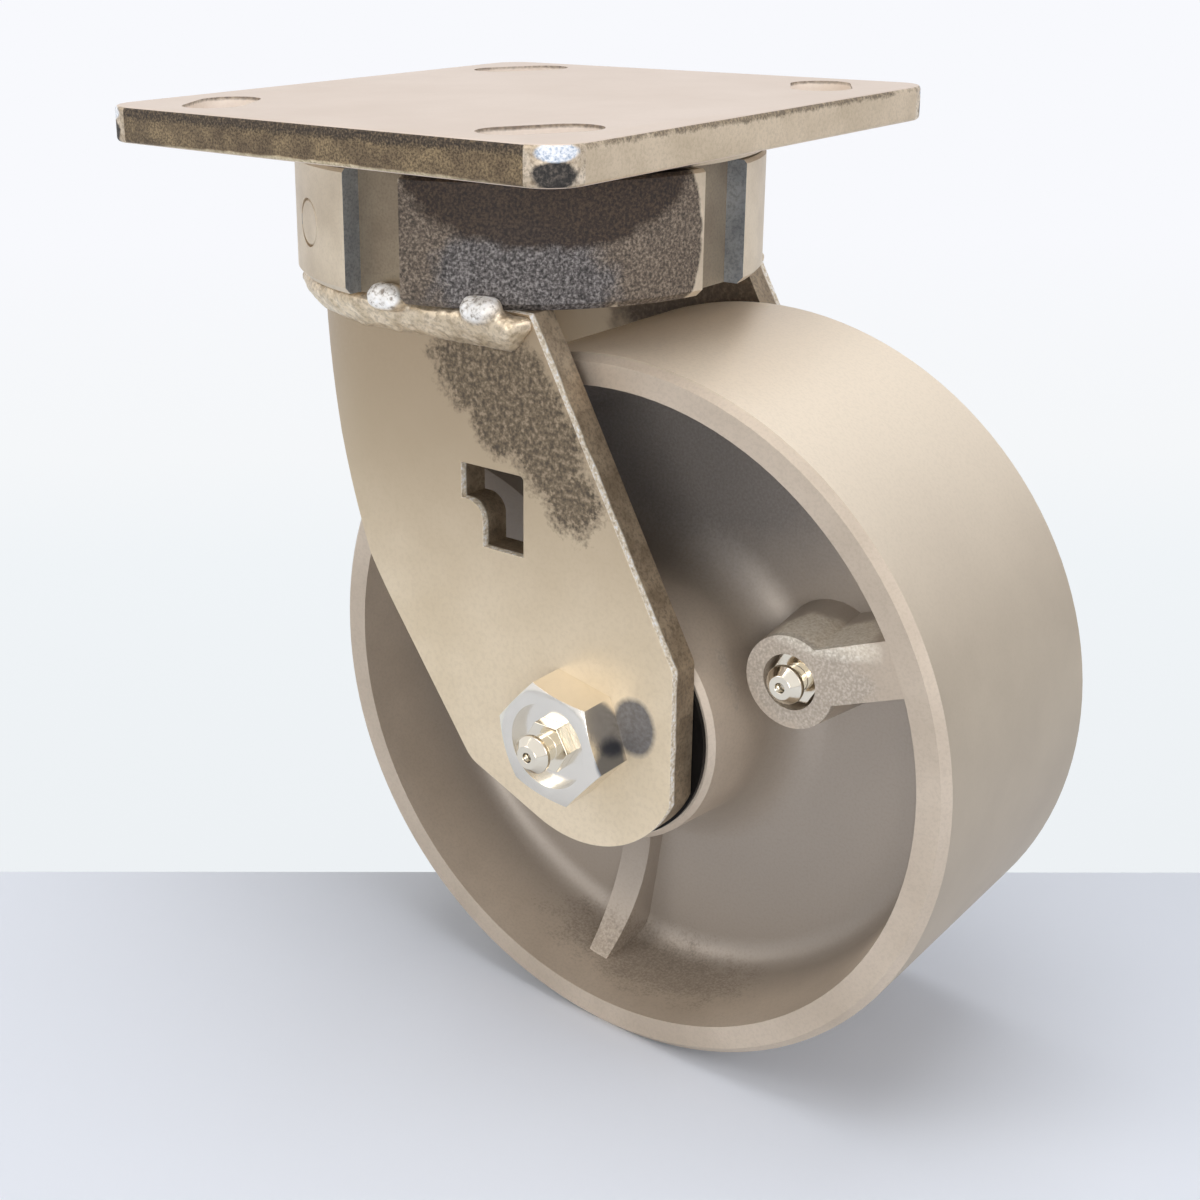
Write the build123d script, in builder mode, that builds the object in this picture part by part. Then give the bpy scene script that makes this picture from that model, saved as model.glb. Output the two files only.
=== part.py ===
from build123d import *
import os
from math import acos, atan2, cos, degrees, hypot, radians, sin, sqrt

# Heavy duty plate castor: a kingpinless ball race under a slotted plate, two bent steel legs
# welded under the race's ring, and a cast wheel on rollers.
# Lengths are millimetres and angles are degrees. The origin is the centre of the plate's top
# face, on the swivel axis. +Z points up, +X along the trail, and -Y to the axle bolt's head.

os.makedirs("parts", exist_ok=True)

# Plate
plate_x = 101.6
plate_y = 114.3
plate_thickness = 6.35
plate_corner_radius = 6.35
plate_edge_round = 0.8
slot_width = 11.1
slot_square_pitch = 76.2
slot_narrow_pitch = 66.7
slot_wide_pitch = 92.1

# Swivel race
ring_diameter = 85.6
ring_height = 21.5
ring_top_chamfer = 0.6
ring_foot_chamfer = 1.2
race_pitch_diameter = 64.0
race_ball_diameter = 7.94
race_ball_count = 24
race_ball_clearance = 0.04
race_land_gap = 1.2
flange_thickness = 2.5
flange_gap = 0.5
race_foot_clearance = 1.0
race_foot_chamfer = 1.0
race_centre_mark = 5.0
flange_weld_size = 1.8
flange_weld_throat = 0.7
notch_width = 12.7
notch_depth = 4.3
notch_count = 4
fill_hole_diameter = 8.6
fill_hole_angle = -116.0
fill_plug_clearance = 0.02
fill_plug_chamfer = 0.5
fill_plug_recess = 0.1
race_fitting_angle = 116.0
race_fitting_seat_depth = 0.4
race_fitting_seat_margin = 1.0

# Fork
trail = 38.1
hub_side_clearance = 0.2
leg_thickness = 6.35
leg_end_radius = 21.0
leg_front_reach = 19.4
leg_front_rise = 15.9
leg_front_top = 28.0
leg_front_round = 2.0
leg_bend_radius = 35.2
leg_bend_start = -4.0
leg_blank_wrap = 64.0
rear_top_wrap = 44.0
rear_middle_wrap = 25.0
rear_middle_drop = 29.0
rear_low_wrap = 9.0
rear_low_drop = 50.0
foot_corner_back = 23.6
foot_corner_drop = 13.0
foot_corner_round = 6.0
window_front = 26.8
window_width = 13.7
window_top_drop = 27.8
window_height = 14.4
window_step_width = 4.8
window_step_height = 8.0
window_step_round = 3.6
window_corner_round = 0.8
weld_width = 5.2
weld_height = 7.0
weld_bulge = 0.5
weld_edge_round = 1.8
weld_front_inset = 3.6
tack_radius = 2.5
tack_spread = 3.1
tack_places = ((1.5, 5.0), (20.5, 3.2))
tack_rise = 0.3

# Axle
bolt_diameter = 12.7
bolt_hole_clearance = 0.15
bolt_head_height = 7.9
bolt_head_chamfer_angle = 30.0
hex_across_flats = 19.05
bolt_head_turn = -11.0
nut_height = 11.1
nut_turn = 0.0
nut_thread_clearance = 0.02
bolt_end_proud = 0.6
bolt_end_chamfer = 0.8
bolt_recess_diameter = 15.0
bolt_recess_depth = 2.0
grease_drill_diameter = 2.6
bushing_diameter = 19.05
bushing_bore_clearance = 0.1
bushing_end_clearance = 0.02

# Wheel
wheel_diameter = 127.0
wheel_top_clearance = 8.25
wheel_width = 52.4
tread_edge_bevel = 1.3
rim_mouth_wall = 5.3
rim_root_wall = 7.9
rim_root_fillet = 5.0
web_thickness = 11.0
hub_length = 55.6
hub_radius = 22.8
hub_root_radius = 24.6
hub_root_fillet = 9.0
hub_edge_chamfer = 0.9
wheel_bore_diameter = 30.16
rib_count = 3
rib_angle = 22.0
rib_thickness = 4.0
rib_hub_height = 11.5
rib_waist_height = 3.5
rib_waist_radius = 38.0
rib_foot_height = 11.5
rib_draft = 6.0
rib_root_sink = 1.5
boss_rib_thickness = 9.4
boss_face_inset = 5.8
boss_radius = 8.0
boss_distance = 34.6
boss_spotface_diameter = 9.6
boss_spotface_depth = 4.4
washer_thickness = 0.85
washer_diameter = 43.0
washer_bore_clearance = 0.1

# Rollers
roller_count = 10
roller_clearance = 0.04
roller_length = 46.0
roller_end_chamfer = 0.4
cage_thickness = 2.4
cage_pocket_clearance = 0.12
cage_end_clearance = 0.4

# Grease fittings
fitting_hex = 7.94
fitting_hex_height = 2.4
fitting_neck_diameter = 4.7
fitting_head_diameter = 6.6
fitting_flare_height = 0.75
fitting_cone_height = 1.5
fitting_tip_diameter = 4.0
fitting_height = 7.4
fitting_shank_diameter = 6.2
fitting_shank_length = 5.0
fitting_bore_diameter = 3.0
fitting_mouth_diameter = 1.7
fitting_mouth_depth = 1.3
fitting_ball_diameter = 2.8
fitting_ball_gap = 0.02

# Levels, worked down from the plate
flange_foot_z = -plate_thickness - flange_thickness
ring_top_z = flange_foot_z - flange_gap
ring_foot_z = ring_top_z - ring_height
race_z = ring_top_z - ring_height / 2
race_foot_z = ring_foot_z + race_foot_clearance
overall_height = wheel_diameter + wheel_top_clearance - race_foot_z
axle_z = wheel_diameter / 2 - overall_height

ring_radius = ring_diameter / 2
race_radius = race_pitch_diameter / 2
inner_land_radius = race_radius - race_land_gap / 2
outer_land_radius = race_radius + race_land_gap / 2
groove_radius = race_ball_diameter / 2 + race_ball_clearance
fork_inside = hub_length + 2 * (washer_thickness + hub_side_clearance)
leg_inner_y = fork_inside / 2
leg_outer_y = leg_inner_y + leg_thickness
axle_centre = Vector(trail, 0, axle_z)
axle_axis = Axis(axle_centre, (0, 1, 0))
bolt_radius = bolt_diameter / 2
bushing_radius = bushing_diameter / 2
wheel_bore_radius = wheel_bore_diameter / 2

# The race's half section has its radius along X. The axle's half section has it along X too,
# with the distance along the axle as Y. The outer face of the near leg is seen from the head.
race_section = Plane.XZ
axle_section = Plane(origin=axle_centre, x_dir=(1, 0, 0), z_dir=(0, 0, 1))
near_face = Plane.XZ.offset(leg_outer_y)


def radial_plane(angle, distance, height):
    """A plane facing outwards from the swivel axis."""
    outward = (cos(radians(angle)), sin(radians(angle)), 0)
    across = (-sin(radians(angle)), cos(radians(angle)), 0)
    place = (outward[0] * distance, outward[1] * distance, height)
    return Plane(origin=place, x_dir=across, z_dir=outward)


def finish(part, name):
    """Labels a finished piece and writes it."""
    part.label = name
    export_step(part, f"parts/{name}.step")


# The plate is a sheared slab with rounded edges. Each slot runs from a square hole pattern to a
# longer rectangular one, so it lies at an angle.
slot_from = Vector(slot_square_pitch / 2, slot_square_pitch / 2)
slot_to = Vector(slot_narrow_pitch / 2, slot_wide_pitch / 2)
slot_run = (slot_to - slot_from).length
slot_angle = degrees(atan2(slot_to.Y - slot_from.Y, slot_to.X - slot_from.X))
slot_middle = (slot_from + slot_to) / 2

with BuildPart() as top_plate:
    with BuildSketch():
        RectangleRounded(plate_x, plate_y, plate_corner_radius)
    extrude(amount=-plate_thickness)
    rims = top_plate.edges().group_by(Axis.Z)
    fillet(rims[0] + rims[-1], plate_edge_round)
    with BuildSketch():
        for side_x in (1, -1):
            for side_y in (1, -1):
                with Locations((side_x * slot_middle.X, side_y * slot_middle.Y)):
                    SlotCenterToCenter(slot_run, slot_width, rotation=side_x * side_y * slot_angle)
    extrude(amount=-plate_thickness, mode=Mode.SUBTRACT)
finish(top_plate.part, "top_plate")

# The inner race is a forged boss with a flange that spreads its load into the plate.
with BuildPart() as inner_race:
    with BuildSketch(race_section):
        with BuildLine():
            Polyline(
                (0, -plate_thickness),
                (ring_radius, -plate_thickness),
                (ring_radius, flange_foot_z),
                (inner_land_radius, flange_foot_z),
                (inner_land_radius, race_foot_z + race_foot_chamfer),
                (inner_land_radius - race_foot_chamfer, race_foot_z),
                (race_centre_mark / 2, race_foot_z),
                (0, race_foot_z + race_centre_mark / 2),
                close=True,
            )
        make_face()
        with Locations((race_radius, race_z)):
            Circle(groove_radius, mode=Mode.SUBTRACT)
    revolve(axis=Axis.Z)
finish(inner_race.part, "inner_race")

with BuildPart() as race_weld:
    with BuildSketch(race_section):
        with BuildLine():
            Polyline(
                (ring_radius, -plate_thickness - flange_weld_size),
                (ring_radius, -plate_thickness),
                (ring_radius + flange_weld_size, -plate_thickness),
            )
            ThreePointArc(
                (ring_radius + flange_weld_size, -plate_thickness),
                (ring_radius + flange_weld_throat, -plate_thickness - flange_weld_throat),
                (ring_radius, -plate_thickness - flange_weld_size),
            )
        make_face()
    revolve(axis=Axis.Z)
finish(race_weld.part, "race_weld")

with BuildPart() as race_balls:
    with PolarLocations(race_radius, race_ball_count):
        with Locations((0, 0, race_z)):
            Sphere(race_ball_diameter / 2)
finish(race_balls.part, "race_balls")

# The swivel ring is the outer race. Its notches take a position lock, and the balls go in
# through the fill hole. The tapped hole reaches the groove and takes the grease fitting.
fill_hole_plane = radial_plane(fill_hole_angle, race_radius, race_z)
fitting_seat_radius = ring_radius - race_fitting_seat_depth
race_fitting_plane = radial_plane(race_fitting_angle, fitting_seat_radius, race_z)

with BuildPart() as swivel_ring:
    with BuildSketch(race_section):
        with BuildLine():
            Polyline(
                (outer_land_radius, ring_top_z),
                (ring_radius - ring_top_chamfer, ring_top_z),
                (ring_radius, ring_top_z - ring_top_chamfer),
                (ring_radius, ring_foot_z + ring_foot_chamfer),
                (ring_radius - ring_foot_chamfer, ring_foot_z),
                (outer_land_radius, ring_foot_z),
                close=True,
            )
        make_face()
        with Locations((race_radius, race_z)):
            Circle(groove_radius, mode=Mode.SUBTRACT)
    revolve(axis=Axis.Z)
    with BuildSketch(Plane.XY.offset(ring_top_z)):
        with PolarLocations(ring_radius, notch_count):
            Rectangle(notch_depth * 2, notch_width)
    extrude(amount=-ring_height, mode=Mode.SUBTRACT)
    with BuildSketch(fill_hole_plane):
        Circle(fill_hole_diameter / 2)
    extrude(amount=ring_radius, mode=Mode.SUBTRACT)
    with BuildSketch(race_fitting_plane):
        Circle(fitting_hex / 2 + race_fitting_seat_margin)
    extrude(amount=ring_radius, mode=Mode.SUBTRACT)
    with BuildSketch(race_fitting_plane):
        Circle(fitting_shank_diameter / 2)
    extrude(amount=-fitting_shank_length, mode=Mode.SUBTRACT)
    with BuildSketch(race_fitting_plane):
        Circle(grease_drill_diameter / 2)
    extrude(amount=race_radius - fitting_seat_radius, mode=Mode.SUBTRACT)
finish(swivel_ring.part, "swivel_ring")

with BuildPart() as ball_fill_plug:
    with BuildSketch(fill_hole_plane.offset(groove_radius)):
        Circle(fill_hole_diameter / 2 - fill_plug_clearance)
    extrude(amount=ring_radius - race_radius - groove_radius - fill_plug_recess)
    plug_axis = Axis(fill_hole_plane.origin, fill_hole_plane.z_dir)
    chamfer(ball_fill_plug.faces().sort_by(plug_axis)[-1].edges(), fill_plug_chamfer)
finish(ball_fill_plug.part, "ball_fill_plug")


def wall_point(wrap, height):
    """A point on the near leg's outer face, a given angle round its rear bend."""
    turn = radians(wrap)
    x = leg_bend_start - leg_bend_radius * sin(turn)
    y = leg_bend_radius * (1 - cos(turn)) - leg_outer_y
    return Vector(x, y, height)


def rear_cut(high, low, wrap):
    """A plane through two points of the rear edge, square to the wall at the given angle."""
    square_to_wall = Vector(-sin(radians(wrap)), -cos(radians(wrap)), 0)
    along_edge = (low - high).normalized()
    return Plane(origin=high, x_dir=along_edge, z_dir=square_to_wall.cross(along_edge))


# The near leg is a blank with a rounded foot, bent inwards along its rear edge round the race.
bend_centre_y = leg_bend_radius - leg_outer_y
foot_corner = Vector(trail - foot_corner_back, axle_z - foot_corner_drop)
corner_reach = hypot(foot_corner_back, foot_corner_drop)
foot_tangent = atan2(-foot_corner_drop, -foot_corner_back) + acos(leg_end_radius / corner_reach)
foot_run = Vector(cos(foot_tangent), sin(foot_tangent)) * leg_end_radius
front_x = trail + leg_front_reach
front_fall = sqrt(leg_end_radius**2 - leg_front_reach**2)
rear_points = (
    wall_point(rear_top_wrap, ring_foot_z),
    wall_point(rear_middle_wrap, ring_foot_z - rear_middle_drop),
    wall_point(rear_low_wrap, ring_foot_z - rear_low_drop),
    Vector(foot_corner.X, -leg_outer_y, foot_corner.Y),
)
rear_wraps = (
    (rear_top_wrap + rear_middle_wrap) / 2,
    (rear_middle_wrap + rear_low_wrap) / 2,
    0,
)
window_rear = window_front - window_width
window_top = ring_foot_z - window_top_drop
window_foot = window_top - window_height

with BuildPart() as near_leg:
    with BuildSketch(Plane.XY.offset(ring_foot_z)):
        with BuildLine():
            Line((leg_bend_start, -leg_outer_y), (front_x, -leg_outer_y))
            Line((front_x, -leg_outer_y), (front_x, -leg_inner_y))
            Line((front_x, -leg_inner_y), (leg_bend_start, -leg_inner_y))
            inner_bend = CenterArc(
                (leg_bend_start, bend_centre_y), leg_bend_radius - leg_thickness, 270, -leg_blank_wrap
            )
            outer_bend = CenterArc(
                (leg_bend_start, bend_centre_y), leg_bend_radius, 270, -leg_blank_wrap
            )
            Line(inner_bend @ 1, outer_bend @ 1)
        make_face()
    extrude(amount=ring_foot_z - axle_z + leg_end_radius, dir=(0, 0, -1))
    with BuildSketch(near_face):
        with BuildLine():
            Polyline(
                (leg_bend_start - leg_bend_radius, ring_foot_z),
                (leg_bend_start - leg_bend_radius, foot_corner.Y),
                (foot_corner.X, foot_corner.Y),
                (trail + foot_run.X, axle_z + foot_run.Y),
            )
            ThreePointArc(
                (trail + foot_run.X, axle_z + foot_run.Y),
                (trail, axle_z - leg_end_radius),
                (front_x, axle_z - front_fall),
            )
            Polyline(
                (front_x, axle_z - front_fall),
                (front_x, axle_z + leg_front_rise),
                (leg_front_top, ring_foot_z),
                (leg_bend_start - leg_bend_radius, ring_foot_z),
            )
        make_face()
    extrude(amount=-leg_outer_y, mode=Mode.INTERSECT)
    for high, low, wrap in zip(rear_points, rear_points[1:], rear_wraps):
        split(bisect_by=rear_cut(high, low, wrap), keep=Keep.TOP)
    rounded_corners = (
        (Vector(foot_corner.X, -leg_outer_y, foot_corner.Y), foot_corner_round),
        (Vector(front_x, -leg_outer_y, axle_z + leg_front_rise), leg_front_round),
    )
    for corner, radius in rounded_corners:
        fillet(near_leg.edges().filter_by(Axis.Y).sort_by_distance(corner)[0], radius)
    with BuildSketch(near_face):
        with Locations((trail, axle_z)):
            Circle(bolt_radius + bolt_hole_clearance)
    extrude(amount=-leg_outer_y, mode=Mode.SUBTRACT)
    with BuildSketch(near_face) as window:
        with BuildLine():
            step_x = window_rear + window_step_width
            step_z = window_foot + window_step_height
            Polyline(
                (window_rear, window_top),
                (window_front, window_top),
                (window_front, window_foot),
                (step_x, window_foot),
                (step_x, step_z),
                (window_rear, step_z),
                close=True,
            )
        make_face()
        corners = window.vertices().sort_by_distance((step_x, step_z))
        fillet(corners[0], window_step_round)
        corners = window.vertices().sort_by_distance((window_front, window_top))
        fillet(corners[0], window_corner_round)
    extrude(amount=-leg_outer_y, mode=Mode.SUBTRACT)
finish(near_leg.part, "near_leg")

with BuildPart() as far_leg:
    mirror(near_leg.part, about=Plane.XZ)
finish(far_leg.part, "far_leg")

# A fillet weld runs under the ring along each leg's outer face and round its bend, and its front
# end is rounded off. Two tacks at its upper edge were laid against the ring first.
weld_front_x = leg_front_top - weld_front_inset
weld_start = Plane(
    origin=(weld_front_x, -leg_outer_y, ring_foot_z), x_dir=(0, -1, 0), z_dir=(-1, 0, 0)
)
bulge_out = weld_width / 2 + weld_bulge
bulge_down = -weld_height / 2 - weld_bulge

with BuildPart() as near_leg_weld:
    for tack_x, outset in tack_places:
        tack_middle = (tack_x, -leg_outer_y - outset, ring_foot_z + tack_rise)
        with BuildSketch(Plane(origin=tack_middle, x_dir=(1, 0, 0), z_dir=(0, -1, 0))):
            SlotCenterToCenter(tack_spread, tack_radius * 2)
            Rectangle(
                tack_spread + tack_radius * 2,
                tack_radius,
                align=(Align.CENTER, Align.MIN),
                mode=Mode.INTERSECT,
            )
        revolve(axis=Axis(tack_middle, (1, 0, 0)))
    add(swivel_ring.part, mode=Mode.SUBTRACT)
    with BuildLine():
        Line((weld_front_x, -leg_outer_y, ring_foot_z), (leg_bend_start, -leg_outer_y, ring_foot_z))
        with BuildLine(Plane.XY.offset(ring_foot_z)):
            CenterArc((leg_bend_start, bend_centre_y), leg_bend_radius, 270, -rear_top_wrap)
    with BuildSketch(weld_start) as bead:
        with BuildLine():
            Polyline((0, -weld_height), (0, 0), (weld_width, 0))
            ThreePointArc((weld_width, 0), (bulge_out, bulge_down), (0, -weld_height))
        make_face()
        fillet(bead.vertices().sort_by_distance((weld_width, 0))[0], weld_edge_round)
    sweep()
    front_end = Axis((weld_front_x, -leg_outer_y, ring_foot_z), (0, 0, 1))
    revolve(bead.sketch, axis=front_end, revolution_arc=90)
finish(near_leg_weld.part, "near_leg_weld")

with BuildPart() as far_leg_weld:
    mirror(near_leg_weld.part, about=Plane.XZ)
finish(far_leg_weld.part, "far_leg_weld")

# Axle. Planes on the axle face the way their piece points, with the wheel's centre as origin.
near_side = Plane(origin=axle_centre, x_dir=(1, 0, 0), z_dir=(0, -1, 0))
far_side = Plane(origin=axle_centre, x_dir=(-1, 0, 0), z_dir=(0, 1, 0))
hex_corner_radius = hex_across_flats / sqrt(3)
hex_bevel_rise = (hex_corner_radius - hex_across_flats / 2) * sin(radians(bolt_head_chamfer_angle))
bolt_end_y = leg_outer_y + nut_height + bolt_end_proud
bolt_head_y = leg_outer_y + bolt_head_height


def hex_blank(face, height, turn):
    """A hexagon standing on a plane, with its outer corners turned down to a bevel."""
    with BuildPart() as blank:
        with BuildSketch(face):
            RegularPolygon(hex_corner_radius, 6, rotation=turn)
        extrude(amount=height)
        with BuildSketch(Plane(origin=face.origin, x_dir=face.x_dir, z_dir=-face.y_dir)):
            with BuildLine():
                Polyline(
                    (0, 0),
                    (hex_corner_radius, 0),
                    (hex_corner_radius, height - hex_bevel_rise),
                    (hex_across_flats / 2, height),
                    (0, height),
                    close=True,
                )
            make_face()
        revolve(axis=Axis(face.origin, face.z_dir), mode=Mode.INTERSECT)
    return blank.part


with BuildPart() as axle_bolt:
    add(hex_blank(near_side.offset(leg_outer_y), bolt_head_height, bolt_head_turn))
    with BuildSketch(near_side.offset(-bolt_end_y)):
        Circle(bolt_radius)
    extrude(amount=bolt_end_y + leg_outer_y)
    chamfer(axle_bolt.faces().sort_by(Axis.Y)[-1].edges(), bolt_end_chamfer)
    with BuildSketch(near_side.offset(bolt_head_y)):
        Circle(bolt_recess_diameter / 2)
    extrude(amount=-bolt_recess_depth, mode=Mode.SUBTRACT)
    with BuildSketch(near_side.offset(bolt_head_y - bolt_recess_depth)):
        Circle(fitting_shank_diameter / 2)
    extrude(amount=-fitting_shank_length, mode=Mode.SUBTRACT)
    with BuildSketch(near_side):
        Circle(grease_drill_diameter / 2)
    extrude(amount=bolt_head_y - bolt_recess_depth, mode=Mode.SUBTRACT)
    with BuildSketch(Plane.XY.offset(axle_z)):
        with Locations((trail, 0)):
            Circle(grease_drill_diameter / 2)
    extrude(amount=bolt_diameter, mode=Mode.SUBTRACT)
finish(axle_bolt.part, "axle_bolt")

with BuildPart() as axle_nut:
    add(hex_blank(far_side.offset(leg_outer_y), nut_height, nut_turn))
    with BuildSketch(far_side.offset(leg_outer_y)):
        Circle(bolt_radius + nut_thread_clearance)
    extrude(amount=nut_height, mode=Mode.SUBTRACT)
finish(axle_nut.part, "axle_nut")

# The bushing is clamped between the legs, so the wheel runs on it and not on the bolt.
bushing_half_length = leg_inner_y - bushing_end_clearance

with BuildPart() as axle_bushing:
    with BuildSketch(near_side.offset(-bushing_half_length)):
        Circle(bushing_radius)
        Circle(bolt_radius + bushing_bore_clearance, mode=Mode.SUBTRACT)
    extrude(amount=bushing_half_length * 2)
    with BuildSketch(Plane.XY.offset(axle_z)):
        with Locations((trail, 0)):
            Circle(grease_drill_diameter / 2)
    extrude(amount=bushing_diameter, mode=Mode.SUBTRACT)
finish(axle_bushing.part, "axle_bushing")

washer_gap = (leg_inner_y - hub_length / 2 - washer_thickness) / 2
for side, name in ((near_side, "near_thrust_washer"), (far_side, "far_thrust_washer")):
    with BuildPart() as thrust_washer:
        with BuildSketch(side.offset(hub_length / 2 + washer_gap)):
            Circle(washer_diameter / 2)
            Circle(bushing_radius + washer_bore_clearance, mode=Mode.SUBTRACT)
        extrude(amount=washer_thickness)
    finish(thrust_washer.part, name)

# Wheel. The half section runs from the bore to the tread on one side and back on the other.
# The rim and the hub are drafted, and both blend into the web. Each face of the web has three
# ribs from hub to rim, hollowed along their crests. One of the near ones is heavier instead,
# and carries the hub's grease fitting.
half_width = wheel_width / 2
half_hub = hub_length / 2
half_web = web_thickness / 2
tread_radius = wheel_diameter / 2
rim_mouth_radius = tread_radius - rim_mouth_wall
rim_root_radius = tread_radius - rim_root_wall
rib_top_y = half_web + max(rib_hub_height, rib_foot_height)
rib_end_radius = rim_root_radius + rib_root_sink
boss_face_y = half_width - boss_face_inset
boss_face = far_side.offset(-boss_face_y)
boss_face_angle = 180 - rib_angle
boss_x = boss_distance * cos(radians(boss_face_angle))
boss_z = boss_distance * sin(radians(boss_face_angle))
boss_outward = Vector(cos(radians(rib_angle)), 0, sin(radians(rib_angle)))
hub_seat_y = boss_face_y - boss_spotface_depth
hub_fitting_plane = Plane(
    origin=axle_centre + boss_outward * boss_distance - Vector(0, hub_seat_y, 0),
    x_dir=(1, 0, 0),
    z_dir=(0, -1, 0),
)
drill_y = hub_seat_y - fitting_shank_length + grease_drill_diameter / 2
drill_plane = Plane(
    origin=axle_centre - Vector(0, drill_y, 0), x_dir=(0, 1, 0), z_dir=boss_outward
)

with BuildPart() as rib:
    rib_run = rim_mouth_radius - wheel_bore_radius - rib_root_sink
    with BuildSketch(Plane(origin=(0, -rib_top_y, 0), x_dir=(1, 0, 0), z_dir=(0, 1, 0))):
        with Locations((wheel_bore_radius + rib_root_sink + rib_run / 2, 0)):
            Rectangle(rib_run, rib_thickness)
    extrude(amount=rib_top_y - half_web + rib_root_sink, taper=-rib_draft)
    with BuildSketch():
        with BuildLine():
            Polyline(
                (rib_end_radius, -half_web - rib_foot_height),
                (rib_end_radius, rib_root_sink - half_web),
                (wheel_bore_radius + rib_root_sink, rib_root_sink - half_web),
                (wheel_bore_radius + rib_root_sink, -half_web - rib_hub_height),
            )
            ThreePointArc(
                (wheel_bore_radius + rib_root_sink, -half_web - rib_hub_height),
                (rib_waist_radius, -half_web - rib_waist_height),
                (rib_end_radius, -half_web - rib_foot_height),
            )
        make_face()
    extrude(amount=hub_radius, both=True, mode=Mode.INTERSECT)

with BuildPart() as wheel:
    with BuildSketch(axle_section) as section:
        with BuildLine():
            half_section = Polyline(
                (wheel_bore_radius, 0),
                (wheel_bore_radius, -half_hub),
                (hub_radius - hub_edge_chamfer, -half_hub),
                (hub_radius, hub_edge_chamfer - half_hub),
                (hub_root_radius, -half_web),
                (rim_root_radius, -half_web),
                (rim_mouth_radius, -half_width),
                (tread_radius - tread_edge_bevel, -half_width),
                (tread_radius, tread_edge_bevel - half_width),
                (tread_radius, 0),
            )
            mirror(about=Plane.XZ)
        make_face()
        for side in (1, -1):
            hub_corner = section.vertices().sort_by_distance((hub_root_radius, side * half_web))[0]
            fillet(hub_corner, hub_root_fillet)
            rim_corner = section.vertices().sort_by_distance((rim_root_radius, side * half_web))[0]
            fillet(rim_corner, rim_root_fillet)
    revolve(axis=axle_axis)
    for step in range(rib_count):
        turned_rib = rib.part.rotate(Axis.Y, -rib_angle - step * 360 / rib_count)
        add(turned_rib.mirror(Plane.XZ).translate(axle_centre))
        if step > 0:
            add(turned_rib.translate(axle_centre))
    with BuildSketch(boss_face):
        with Locations((boss_x, boss_z)):
            Circle(boss_radius)
        with Locations(Location((0, 0), boss_face_angle)):
            with Locations(((boss_distance + rim_mouth_radius + rib_root_sink) / 2, 0)):
                Rectangle(rim_mouth_radius + rib_root_sink - boss_distance, boss_rib_thickness)
    extrude(amount=boss_face_y - half_web + rib_root_sink, taper=-rib_draft)
    with BuildSketch(hub_fitting_plane.offset(boss_spotface_depth)):
        Circle(boss_spotface_diameter / 2)
    extrude(amount=-boss_spotface_depth, mode=Mode.SUBTRACT)
    with BuildSketch(hub_fitting_plane):
        Circle(fitting_shank_diameter / 2)
    extrude(amount=-fitting_shank_length, mode=Mode.SUBTRACT)
    with BuildSketch(drill_plane):
        Circle(grease_drill_diameter / 2)
    extrude(amount=boss_distance, mode=Mode.SUBTRACT)
finish(wheel.part, "wheel")

# Rollers in a slotted sleeve run between the bushing and the wheel's bore.
roller_pitch = (wheel_bore_radius + bushing_radius) / 2
roller_radius = (wheel_bore_radius - bushing_radius) / 2 - roller_clearance
cage_half_length = half_hub - cage_end_clearance

with BuildPart() as bearing_rollers:
    with BuildSketch(near_side.offset(-roller_length / 2)):
        with PolarLocations(roller_pitch, roller_count):
            Circle(roller_radius)
    extrude(amount=roller_length)
    chamfer(bearing_rollers.edges().filter_by(GeomType.CIRCLE), roller_end_chamfer)
finish(bearing_rollers.part, "bearing_rollers")

with BuildPart() as roller_cage:
    with BuildSketch(near_side.offset(-cage_half_length)):
        Circle(roller_pitch + cage_thickness / 2)
        Circle(roller_pitch - cage_thickness / 2, mode=Mode.SUBTRACT)
    extrude(amount=cage_half_length * 2)
    pocket_half_length = roller_length / 2 + cage_pocket_clearance
    with BuildSketch(near_side.offset(-pocket_half_length)):
        with PolarLocations(roller_pitch, roller_count):
            Circle(roller_radius + cage_pocket_clearance)
    extrude(amount=pocket_half_length * 2, mode=Mode.SUBTRACT)
finish(roller_cage.part, "roller_cage")


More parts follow.
